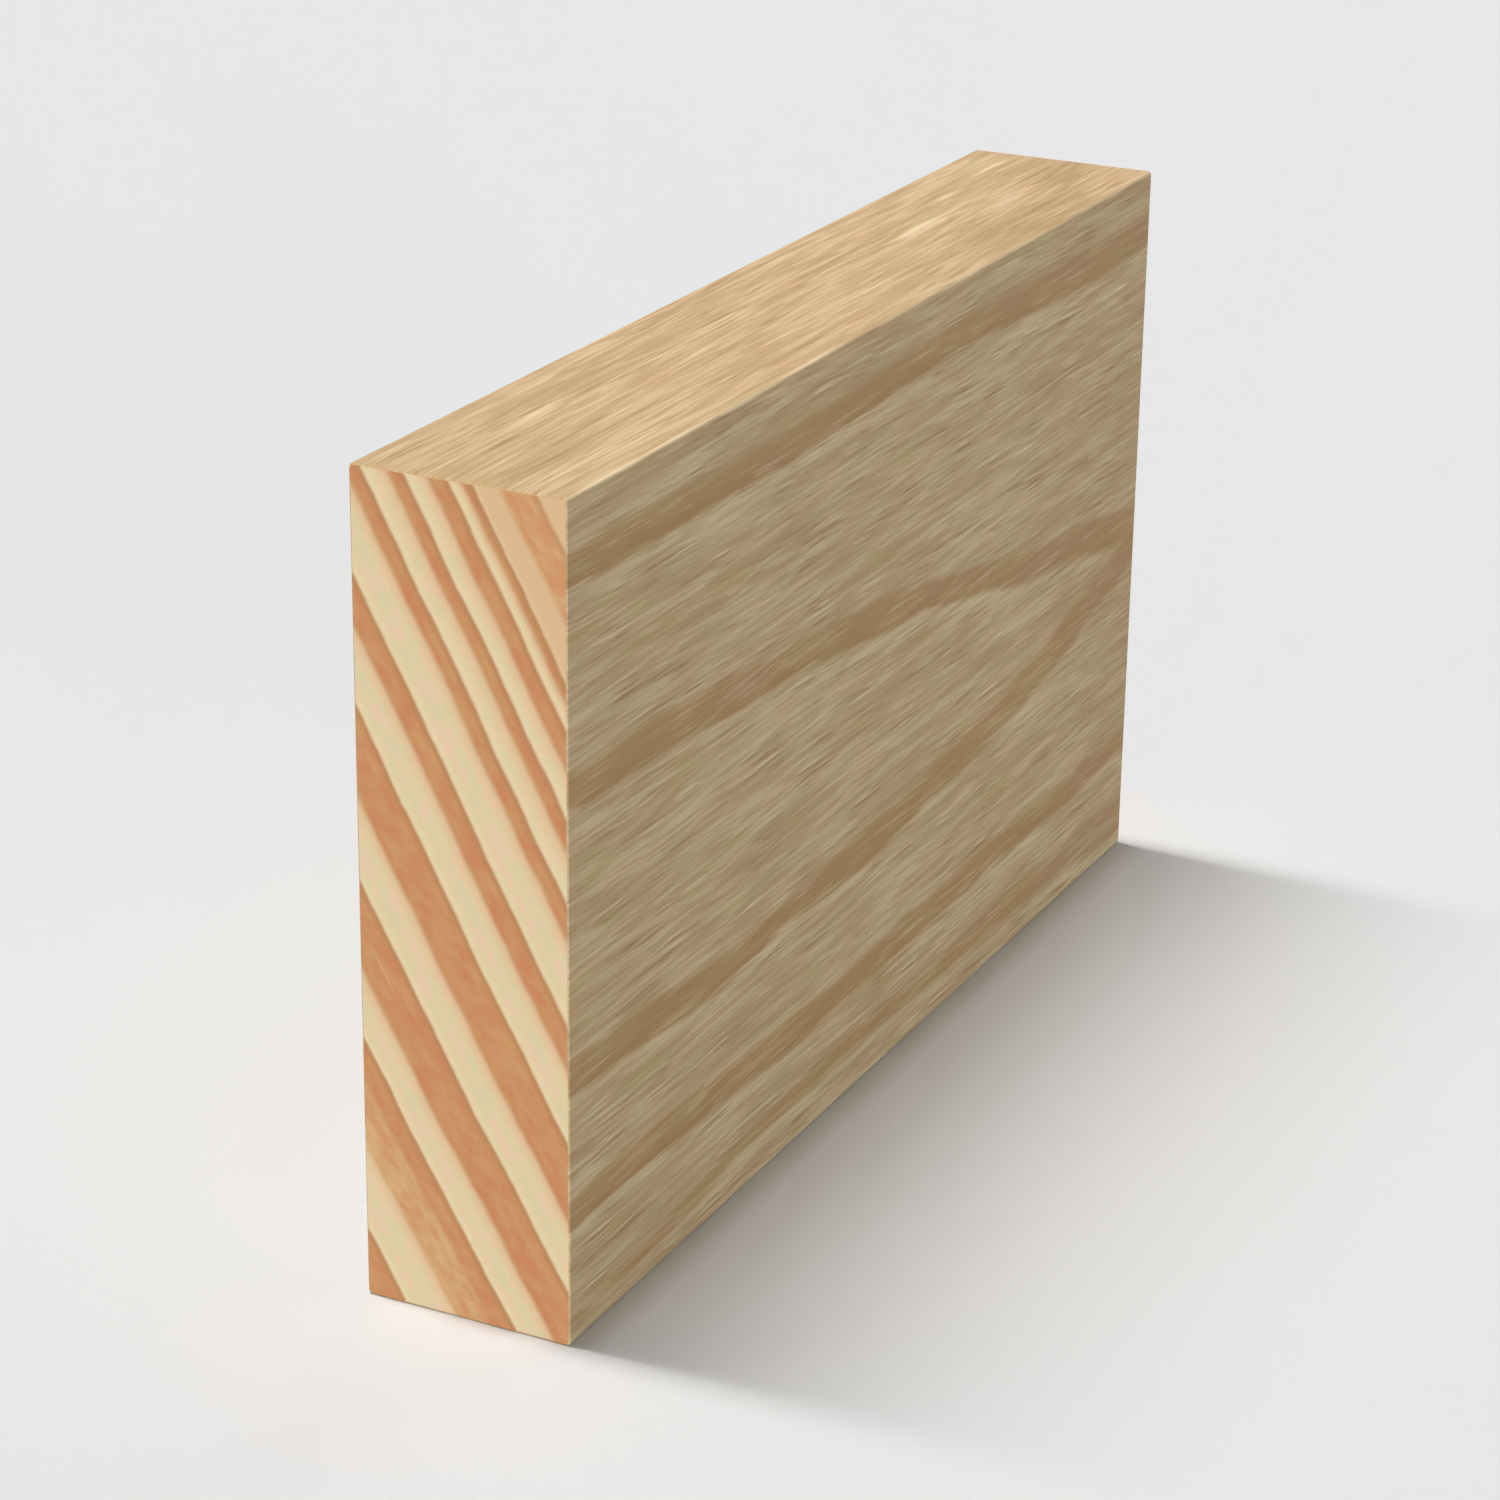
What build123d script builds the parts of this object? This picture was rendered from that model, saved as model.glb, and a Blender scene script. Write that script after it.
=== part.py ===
# Rectangular moulding strip: a short length of planed softwood, sawn square at both ends.
# It stands on its narrow lower edge, as it does in the photograph.
# X runs along the grain, Y through the thickness and Z up. The origin is at the bottom centre.
# The near sawn end is at -X and the face side is at -Y.

from build123d import *
import os

# Driving dimensions, in millimetres
STRIP_LENGTH = 113.0  # from sawn end to sawn end, along the grain
STRIP_THICKNESS = 18.0  # from the face side to the back
FACE_WIDTH = 68.0  # width of the planed wide faces, upright here
ARRIS_RADIUS = 0.35  # the planer leaves the four long arrises just rounded
SAWN_END_EASE = 0.12  # flat bevel where the sawn ends are rubbed down with paper

NEAR_END_X = -STRIP_LENGTH / 2


# The strip is one planed section, carried along the grain from the near end to the far end.
with BuildPart() as moulding_strip:
    with BuildSketch(Plane.YZ.offset(NEAR_END_X)):
        with Locations((0, FACE_WIDTH / 2)):
            planed_section = Rectangle(STRIP_THICKNESS, FACE_WIDTH)
        fillet(planed_section.vertices(), radius=ARRIS_RADIUS)
    extrude(amount=STRIP_LENGTH)

    # The rim of each sawn end is eased all the way round.
    sawn_ends = moulding_strip.faces().filter_by(Axis.X)
    chamfer(sawn_ends.edges(), length=SAWN_END_EASE)

moulding_strip.part.label = "moulding_strip"


# One file for the one piece
os.makedirs("parts", exist_ok=True)
export_step(moulding_strip.part, "parts/moulding_strip.step")

strip_box = moulding_strip.part.bounding_box().size
print(f"moulding_strip: {strip_box.X:.2f} x {strip_box.Y:.2f} x {strip_box.Z:.2f} mm")
print(f"volume: {moulding_strip.part.volume / 1000:.2f} cm3")
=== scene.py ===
"""Dresses the planed softwood strip: its sawn ends, its wide faces, its narrow edges, and the light on it.

Sizes of the wood and places on it are in millimetres here, and MM turns them into metres.
On every surface "along" runs from the near sawn end to the far one, "down" runs from the top edge
to the bottom one, and "across" runs from the back to the face side. A noise goes from about -0.5
to 0.5. A seed is any number, and another one gives another pattern.
"""

import logging
import math
from dataclasses import dataclass
from enum import Enum

import bpy
from mathutils import Matrix, Vector


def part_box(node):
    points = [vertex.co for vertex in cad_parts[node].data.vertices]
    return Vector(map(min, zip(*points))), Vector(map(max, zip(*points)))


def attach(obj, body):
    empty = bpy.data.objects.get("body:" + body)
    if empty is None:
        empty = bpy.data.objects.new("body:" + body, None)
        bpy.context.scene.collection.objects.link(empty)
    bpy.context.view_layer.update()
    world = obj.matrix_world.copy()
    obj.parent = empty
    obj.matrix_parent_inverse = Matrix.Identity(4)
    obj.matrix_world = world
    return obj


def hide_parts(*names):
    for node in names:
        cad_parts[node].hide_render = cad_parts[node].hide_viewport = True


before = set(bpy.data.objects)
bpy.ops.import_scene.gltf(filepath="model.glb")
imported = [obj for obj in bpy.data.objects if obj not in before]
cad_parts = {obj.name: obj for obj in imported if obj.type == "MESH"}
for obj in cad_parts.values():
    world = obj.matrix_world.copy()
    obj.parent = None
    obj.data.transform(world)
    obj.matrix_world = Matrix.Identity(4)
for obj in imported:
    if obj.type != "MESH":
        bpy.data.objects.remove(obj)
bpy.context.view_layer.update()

MM = 0.001
STRIP_NODE = "moulding_strip"
BODY = "root"
PIECE = "planed_strip"

log = logging.getLogger("moulding_strip")

Colour = tuple[float, float, float, float]
Span = tuple[float, float]
Rescaling = tuple[float, float, float, float]
Inputs = dict[int | str, object]
Socket = bpy.types.NodeSocket


def tone(red: int, green: int, blue: int) -> Colour:
    """Turns a colour as a screen shows it into the shader's linear one.

    Args:
        red: Red, 0 to 255.
        green: Green, 0 to 255.
        blue: Blue, 0 to 255.

    Returns:
        Linear red, green and blue, and an alpha of 1.
    """
    toe_end, toe_slope, lift, power = 0.04045, 12.92, 0.055, 2.4

    def linear(value: int) -> float:
        """Gives one channel in linear light."""
        share = value / 255
        return share / toe_slope if share <= toe_end else ((share + lift) / (1 + lift)) ** power

    return (linear(red), linear(green), linear(blue), 1.0)


class NodeSheet:
    """A node tree, to which each node is added in one step."""

    def __init__(self, tree: bpy.types.NodeTree) -> None:
        """Takes the tree that the nodes go into, and empties it."""
        self.tree = tree
        tree.nodes.clear()

    def add(self, kind: str, given: Inputs | None = None, **settings: object) -> bpy.types.Node:
        """Adds one node.

        Args:
            kind: The node's type name.
            given: What its inputs get, a reading or a constant, by the input's name or number.
            **settings: Properties of the node, by name.

        Returns:
            The new node.
        """
        node = self.tree.nodes.new(kind)
        for name, value in settings.items():
            setattr(node, name, value)
        for name, value in (given or {}).items():
            self.feed(node.inputs[name], value)
        return node

    def feed(self, socket: Socket, value: object) -> None:
        """Links an input to a reading, or sets its constant value."""
        if isinstance(value, Reading):
            self.tree.links.new(value.socket, socket)
        else:
            socket.default_value = value

    def read(self, kind: str, given: Inputs | None = None, output: int | str = 0,
             **settings: object) -> "Reading":
        """Adds one node, as add does, and reads the output of that name or number."""
        return Reading(self, self.add(kind, given, **settings).outputs[output])

    def join(self, x: "Number", y: "Number", z: "Number" = 0.0) -> "Reading":
        """Makes a vector of three numbers."""
        return self.read("ShaderNodeCombineXYZ", {0: x, 1: y, 2: z})


class Reading:
    """What a node gives. A formula is written with it as with a plain number, and adds nodes to its sheet."""

    def __init__(self, sheet: NodeSheet, socket: Socket) -> None:
        """Takes the node's sheet, and the output that is read."""
        self.sheet = sheet
        self.socket = socket

    def math(self, operation: str, *others: "Number") -> "Reading":
        """Adds a math node, such as SIGN, that takes this and then the others."""
        return self.sheet.read("ShaderNodeMath", dict(enumerate((self, *others))), operation=operation)

    def __add__(self, other: "Number") -> "Reading":
        """Adds a number."""
        return self.math("ADD", other)

    def __sub__(self, other: "Number") -> "Reading":
        """Takes a number away."""
        return self.math("SUBTRACT", other)

    def __rsub__(self, other: float) -> "Reading":
        """Takes this away from a number."""
        return self.math("MULTIPLY_ADD", -1.0, other)

    def __mul__(self, other: "Number") -> "Reading":
        """Multiplies by a number."""
        return self.math("MULTIPLY", other)

    def __truediv__(self, other: "Number") -> "Reading":
        """Divides by a number."""
        return self.math("DIVIDE", other)

    def __abs__(self) -> "Reading":
        """Leaves the sign off."""
        return self.math("ABSOLUTE")

    __radd__ = __add__

    def at_least(self, other: "Number") -> "Reading":
        """Gives the larger of the two."""
        return self.math("MAXIMUM", other)

    def at_most(self, other: "Number") -> "Reading":
        """Gives the smaller of the two."""
        return self.math("MINIMUM", other)

    def rise(self, low: "Number", high: "Number") -> "Reading":
        """Goes smoothly from 0 at low to 1 at high, and stays there. With high below low it runs back."""
        given = dict(enumerate((self, low, high)))
        return self.sheet.read("ShaderNodeMapRange", given, interpolation_type="SMOOTHSTEP")

    def rescale(self, low: "Number", high: "Number", to_low: "Number", to_high: "Number") -> "Reading":
        """Maps one range to another in a straight line, held at both ends."""
        given = dict(enumerate((self, low, high, to_low, to_high)))
        return self.sheet.read("ShaderNodeMapRange", given, interpolation_type="LINEAR")

    def curve(self, points: list[Span]) -> "Reading":
        """Reads a smooth line through a few points.

        Args:
            points: The points, each from 0 to 1 both ways.

        Returns:
            The line's height here.
        """
        node = self.sheet.add("ShaderNodeFloatCurve", {"Value": self})
        line = node.mapping.curves[0]
        for place, point in enumerate(points):
            if place < len(line.points):
                line.points[place].location = point
            else:
                line.points.new(*point)
        node.mapping.update()
        return Reading(self.sheet, node.outputs[0])

    def vector(self, operation: str, other: object) -> "Reading":
        """Adds a vector math node, such as SUBTRACT, that takes this and then the other."""
        return self.sheet.read("ShaderNodeVectorMath", {0: self, 1: other}, operation=operation)

    def scaled(self, factor: float) -> "Reading":
        """Multiplies a vector by a number."""
        return self.sheet.read("ShaderNodeVectorMath", {0: self, "Scale": factor}, operation="SCALE")

    def reach(self) -> "Reading":
        """Gives a vector's length."""
        return self.sheet.read("ShaderNodeVectorMath", {0: self}, "Value", operation="LENGTH")

    def split(self) -> list["Reading"]:
        """Gives a vector's three numbers."""
        node = self.sheet.add("ShaderNodeSeparateXYZ", {0: self})
        return [Reading(self.sheet, output) for output in node.outputs]

    def noise(self, detail: float = 2.0) -> "Reading":
        """Gives a noise at this point that changes over about one unit, with that many finer layers."""
        given = {"Vector": self, "Scale": 1.0, "Detail": detail}
        return self.sheet.read("ShaderNodeTexNoise", given, noise_dimensions="3D") - 0.5

    def blend(self, first: object, second: object) -> "Reading":
        """Mixes two colours by this share.

        Args:
            first: The colour where the share is 0 or less.
            second: The colour where it is 1 or more.

        Returns:
            The mixed colour.
        """
        share, colour_a, colour_b, result = 0, 6, 7, 2
        given = {share: self, colour_a: first, colour_b: second}
        return self.sheet.read("ShaderNodeMix", given, result, data_type="RGBA", clamp_factor=True)

    def mottle(self, base: object, above: Colour, below: Colour, span: Span, most: float = 1.0) -> "Reading":
        """Tints a colour one way where this noise is high, and another way where it is low.

        Args:
            base: The colour.
            above: The tint where the noise is high.
            below: The tint where it is low.
            span: Where the first tint starts and is full. The other mirrors it.
            most: How strong the tints are at most.

        Returns:
            The mottled colour.
        """
        low, high = span
        tinted = (self.rise(low, high) * most).blend(base, above)
        return (self.rise(-low, -high) * most).blend(tinted, below)


Number = float | Reading


@dataclass(frozen=True)
class Patches:
    """A pattern of patches that are drawn out along the grain.

    Attributes:
        length: About how long a patch is.
        breadth: About how broad it is.
        weight: How strong the pattern is.
        step: What is added to the surface's seed.
        detail: How many finer layers it has.
    """

    length: float
    breadth: float
    weight: float = 1.0
    step: float = 0.0
    detail: float = 1.0


@dataclass(frozen=True)
class Fleck:
    """One streak or soft patch that stands out: mostly in the grain, but some are painted highlights and some
    painted shade.

    Attributes:
        along: Its middle, along the strip, or down the sawn end.
        beside: Its middle, down a wide face, across a narrow edge, or across the rings.
        length: How long it is.
        breadth: How broad it is.
        weight: How pale it is, or how dark if below 0.
    """

    along: float
    beside: float
    length: float
    breadth: float
    weight: float


@dataclass(frozen=True)
class Spot:
    """A point of a surface, by its place along the grain and its place beside that."""

    along: Reading
    beside: Reading

    def noise(self, patches: Patches, seed: Number) -> Reading:
        """Gives a noise in patches."""
        point = (self.along / patches.length, self.beside / patches.breadth, seed + patches.step)
        return self.along.sheet.join(*point).noise(patches.detail)

    def wave(self, patches: Patches, seed: Number) -> Reading:
        """Gives a noise in patches, as strong as they say."""
        return self.noise(patches, seed) * patches.weight

    def scattered(self, patches: Patches, seed: float) -> tuple[Reading, Reading, Reading, Reading]:
        """Scatters one point in each patch of an uneven grid.

        Args:
            patches: The patches' size.
            seed: The grid's seed.

        Returns:
            How far the nearest point is and how far to the side, both in patches, and two random numbers
            from 0 to 1 that the point keeps.
        """
        sheet = self.along.sheet
        side = self.beside / patches.breadth
        given = {"Vector": sheet.join(self.along / patches.length + seed, side), "Scale": 1.0}
        node = sheet.add("ShaderNodeTexVoronoi", given, voronoi_dimensions="2D", feature="F1")
        far, kept, middle = (Reading(sheet, node.outputs[name]) for name in ("Distance", "Color", "Position"))
        chance, turn, _ = kept.split()
        return far, side - middle.split()[1], chance, turn

    def marked(self, flecks: tuple[Fleck, ...]) -> Reading:
        """Lays flecks on the surface.

        Args:
            flecks: The flecks.

        Returns:
            A number around 0, above it for pale flecks and below it for dark ones.
        """
        point = self.along.sheet.join(self.along, self.beside)
        fades = (1.0, 0.1)
        total: Number = 0.0
        for fleck in flecks:
            away = point.vector("SUBTRACT", (fleck.along, fleck.beside, 0.0))
            shares = away.vector("MULTIPLY", (2 / fleck.length, 2 / fleck.breadth, 0.0))
            total = shares.reach().rise(*fades) * fleck.weight + total
        return total


@dataclass(frozen=True)
class StripSizes:
    """The strip's outer sizes, read from the frame, and the easing of its arrises."""

    length: float
    thickness: float
    width: float
    arris_radius: float = 0.35
    end_ease: float = 0.12

    @classmethod
    def from_frame(cls) -> "StripSizes":
        """Reads the sizes of the strip's node."""
        low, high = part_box(STRIP_NODE)
        return cls(*((high - low) / MM))


@dataclass(frozen=True)
class Places:
    """Where a point of the wood is."""

    along: Reading
    across: Reading
    down: Reading

    @classmethod
    def read(cls, sizes: StripSizes, position: Reading) -> "Places":
        """Works the three places out from a point in the strip's frame, in metres."""
        x, y, z = position.scaled(1 / MM).split()
        return cls(x + sizes.length / 2, sizes.thickness / 2 - y, sizes.width - z)


@dataclass(frozen=True)
class Ring:
    """The dark latewood of one year, by its place across the rings.

    Attributes:
        start: Where it sets in, softly.
        end: Where it stops, sharply, and the next year's pale wood begins.
        pale_until: Up to here it is only half as dark.
    """

    start: float
    end: float
    pale_until: float | None = None


@dataclass(frozen=True)
class GrowthRings:
    """The rings that show at both sawn ends, leaning from the top of the back down to the face side."""

    lean: float = 0.5494
    bow: float = 0.00038
    mid_down: float = 34.0
    drift: float = 0.006
    sway: float = 0.17
    sway_length: float = 59.0
    sway_crest: float = 14.0
    wave: float = 0.32
    wave_length: float = 9.0
    ripple: float = 0.09
    ripple_length: float = 1.6
    soft_start: float = 0.4
    sharp_end: float = 0.2
    rings: tuple[Ring, ...] = (
        Ring(-60.0, -34.75),
        Ring(-30.5, -25.15, pale_until=-27.2),
        Ring(-21.9, -17.75),
        Ring(-14.2, -10.15),
        Ring(-6.8, -4.5),
        Ring(-0.85, 0.85),
        Ring(2.95, 4.5),
        Ring(6.4, 8.25),
        Ring(9.3, 10.3),
        Ring(12.6, 15.6, pale_until=15.6),
    )

    def coordinate(self, places: Places) -> Reading:
        """Works out a point's place across the rings.

        Args:
            places: The point's places.

        Returns:
            The place; a ring is where it is constant.
        """
        slope = (places.down - self.mid_down) * self.bow + self.lean
        straight = places.across - slope * places.down
        turned = (places.down - self.sway_crest) * (math.tau / self.sway_length)
        drifted = straight - turned.math("COSINE") * self.sway - places.along * self.drift
        point = places.along.sheet.join(places.across, places.down, places.along)
        wave = self.waver(point, self.wave_length, self.wave)
        return drifted + wave + self.waver(point, self.ripple_length, self.ripple)

    @staticmethod
    def waver(point: Reading, length: float, height: float) -> Reading:
        """Gives a noise of one wavelength and height."""
        return point.scaled(1 / length).noise(detail=1.0) * (2 * height)

    def latewood(self, place: Reading) -> tuple[Reading, Reading]:
        """Says how far a point lies in latewood.

        Args:
            place: The place across the rings.

        Returns:
            The share of full latewood, and the share of the half-dark kind, each 0 to 1.
        """
        full: Number = 0.0
        pale: Number = 0.0
        soft, sharp = self.soft_start, self.sharp_end
        for ring in self.rings:
            begun = place.rise(ring.start - soft, ring.start + soft)
            inside = begun * place.rise(ring.end + sharp, ring.end - sharp)
            if ring.pale_until is None:
                full = inside.at_least(full)
                continue
            dark = place.rise(ring.pale_until - soft, ring.pale_until + soft)
            full = (inside * dark).at_least(full)
            pale = inside.at_least(pale)
        return full, pale

    def near_edge(self, place: Reading, edge: str, stretch: Span) -> Reading:
        """Marks a stretch beside every ring's start or end.

        Args:
            place: The place across the rings.
            edge: "start" or "end", the edge that the stretch is measured from.
            stretch: Where the stretch begins and stops, from the edge.

        Returns:
            The share, 0 to 1, highest in the middle of the stretch.
        """
        low, high = stretch
        middle = (low + high) / 2
        found: Number = 0.0
        for ring in self.rings:
            at = getattr(ring, edge)
            inside = place.rise(at + low, at + middle) * place.rise(at + high, at + middle)
            found = inside.at_least(found)
        return found


class WoodFinish:
    """What every finish of the bare wood shares: the shader, its gloss, and the eased edges with their
    painted highlight and painted shade.

    Attributes:
        gloss: From the fibres' noise to roughness.
        arris_reach: Where an arris's pale tone, of worn wood and painted highlight, begins and is full, in
            shares of its radius.
        arris_gaps: From a noise along an arris to how much of that tone shows.
    """

    name: str
    specular = 0.2
    gloss: Rescaling = (-0.4, 0.4, 0.74, 0.54)
    fibre_height = 0.02
    # The long arrises are paler: some wear, and a painted highlight where the eased edge catches light.
    arris_wear_and_highlight_tone = tone(238, 214, 173)
    arris_wear_and_highlight_share = 0.3
    arris_reach = (0.8, 0.1)
    arris_gaps: Rescaling = (-0.3, 0.2, 0.1, 1.0)
    # Painted shade on the rims of the sawn ends, which dulls the light that their small bevels catch.
    rim_shade_tone = tone(190, 158, 114)
    rim_shade_share = 0.35
    rim_width = 0.16

    def __init__(self, sizes: StripSizes, seed: float) -> None:
        """Takes the strip's sizes and the surface's seed."""
        self.sizes = sizes
        self.seed = seed

    def colour(self, places: Places) -> Reading:
        """Works out the wood's colour at a point."""
        raise NotImplementedError

    def fibres(self, places: Places) -> Reading:
        """Works out how the fibres stand up and lie down at a point, as a noise."""
        raise NotImplementedError

    def edges(self, places: Places) -> tuple[Reading, Reading]:
        """Marks the eased edges, for the painted highlight on the long arrises and the painted shade on the
        sawn rims.

        Args:
            places: The point's places.

        Returns:
            The share of long arris, which takes a worn pale tone and a painted highlight, and the share of
            sawn rim, which takes painted shade, each 0 to 1.
        """
        spans = (self.sizes.length, self.sizes.thickness, self.sizes.width)
        pairs = zip((places.along, places.across, places.down), spans)
        off_end, off_face, off_edge = (place.at_most(span - place) for place, span in pairs)
        wide, narrow = (share * self.sizes.arris_radius for share in self.arris_reach)
        highlighted_arris = off_face.at_least(off_edge).rise(wide, narrow)
        shaded_rim = off_end.at_least(off_face.at_most(off_edge)).rise(self.rim_width, 0.0)
        patchy = places.along.sheet.join(places.along, self.seed).noise().rescale(*self.arris_gaps)
        return highlighted_arris * patchy, shaded_rim

    def material(self) -> bpy.types.Material:
        """Makes the material, with its nodes.

        Returns:
            The new material.
        """
        made = bpy.data.materials.new(self.name)
        made.use_nodes = True
        sheet = NodeSheet(made.node_tree)
        places = Places.read(self.sizes, sheet.read("ShaderNodeTexCoord", output="Object"))
        fibres = self.fibres(places)
        highlighted_arris, shaded_rim = self.edges(places)
        # A painted highlight, with some wear, along the long arrises; below it, painted shade on the sawn
        # rims.
        colour = (highlighted_arris * self.arris_wear_and_highlight_share).blend(self.colour(places), self.arris_wear_and_highlight_tone)
        bump = {"Strength": 1.0, "Distance": self.fibre_height * MM, "Height": fibres}
        shader = sheet.read("ShaderNodeBsdfPrincipled", {
            "Base Color": (shaded_rim * self.rim_shade_share).blend(colour, self.rim_shade_tone),
            "Specular IOR Level": self.specular,
            "Roughness": fibres.rescale(*self.gloss),
            "Normal": sheet.read("ShaderNodeBump", bump, "Normal"),
        })
        sheet.add("ShaderNodeOutputMaterial", {"Surface": shader})
        return made


class SawnEnd(WoodFinish):
    """The end grain: cream earlywood between leaning bands of orange-brown latewood.

    A stretch is where a tint lies beside a ring's start or end, and a span is where a tint begins and
    is full. From tan_from on, across the rings, the pale wood is tan and the dark wood redder.
    """

    name = "sawn_end_grain"
    earlywood = tone(227, 207, 167)
    earlywood_green = tone(222, 208, 167)
    earlywood_pink = tone(233, 204, 170)
    earlywood_tan = tone(222, 186, 143)
    tan_from = 9.9
    tan_full = 0.9
    first_wood = tone(231, 212, 168)
    first_stretch = (-0.2, 0.9)
    first_share = 0.6
    last_pale_wood = tone(229, 192, 148)
    last_pale_stretch = (-1.2, 0.5)
    last_pale_share = 0.7
    latewood_tone = tone(202, 145, 98)
    latewood_red = tone(204, 134, 93)
    latewood_gold = tone(206, 153, 102)
    latewood_edge = tone(184, 133, 89)
    edge_stretch = (-0.8, 0.4)
    edge_share = 0.8
    half_late = tone(211, 165, 115)
    half_late_red = tone(209, 150, 103)
    half_late_pale = tone(218, 175, 126)
    half_late_edge = tone(194, 146, 101)
    half_edge_share = 0.6
    ray_tone = tone(226, 178, 134)
    heart_full = 1.5
    heart_redness = 0.12
    tints = Patches(1.9, 1.0, step=3.1, detail=2.0)
    tint_span = (0.0, 0.12)
    blotches = Patches(1.6, 1.0, step=8.4, detail=2.0)
    blotch_span = (-0.06, 0.26)
    pores = Patches(0.14, 0.14)
    change_inwards = 0.05
    flecks = (
        Fleck(39.8, -19.85, 5.5, 0.35, 0.5),
        Fleck(35.5, -20.5, 4.0, 0.3, 0.35),
        Fleck(42.5, -19.0, 3.0, 0.25, 0.3),
    )

    def __init__(self, sizes: StripSizes, rings: GrowthRings, seed: float) -> None:
        """Takes the strip's sizes, its rings, and the surface's seed."""
        super().__init__(sizes, seed)
        self.rings = rings

    def cloud(self, places: Places, place: Reading, patches: Patches) -> Reading:
        """Gives a soft mottling in patches along the rings, for a place across them."""
        deep = places.along * self.change_inwards + self.seed
        return Spot(places.down, place).noise(patches, deep)

    def early(self, places: Places, place: Reading) -> Reading:
        """Works out the colour of the pale wood between the rings' dark bands.

        Args:
            places: The point's places.
            place: Its place across the rings.

        Returns:
            The colour.
        """
        tints = self.cloud(places, place, self.tints)
        colour = tints.mottle(self.earlywood, self.earlywood_green, self.earlywood_pink, self.tint_span)
        last = self.rings.near_edge(place, "start", self.last_pale_stretch)
        colour = (last * self.last_pale_share).blend(colour, self.last_pale_wood)
        first = self.rings.near_edge(place, "end", self.first_stretch)
        colour = (first * self.first_share).blend(colour, self.first_wood)
        return place.rise(self.tan_from, self.tan_from + self.tan_full).blend(colour, self.earlywood_tan)

    def late(self, places: Places, place: Reading) -> tuple[Reading, Reading]:
        """Works out the colours of the rings' dark bands.

        Args:
            places: The point's places.
            place: Its place across the rings.

        Returns:
            The colour of full latewood, and of the half-dark kind.
        """
        heart = place.rise(self.tan_from, self.tan_from + self.heart_full)
        blotch = self.cloud(places, place, self.blotches) + heart * self.heart_redness
        last = self.rings.near_edge(place, "end", self.edge_stretch)
        full = blotch.mottle(self.latewood_tone, self.latewood_red, self.latewood_gold, self.blotch_span)
        full = (last * self.edge_share).blend(full, self.latewood_edge)
        half = blotch.mottle(self.half_late, self.half_late_red, self.half_late_pale, self.blotch_span)
        half = (last * self.half_edge_share).blend(half, self.half_late_edge)
        return Spot(places.down, place).marked(self.flecks).blend(full, self.ray_tone), half

    def colour(self, places: Places) -> Reading:
        """Works out the end grain's colour, as WoodFinish.colour says.

        Args:
            places: The point's places.

        Returns:
            The colour.
        """
        place = self.rings.coordinate(places)
        full, pale = self.rings.latewood(place)
        late, half = self.late(places, place)
        return full.blend(pale.blend(self.early(places, place), half), late)

    def fibres(self, places: Places) -> Reading:
        """Works out the cut fibre ends, as WoodFinish.fibres says."""
        return Spot(places.down, places.across).noise(self.pores, self.seed)


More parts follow.
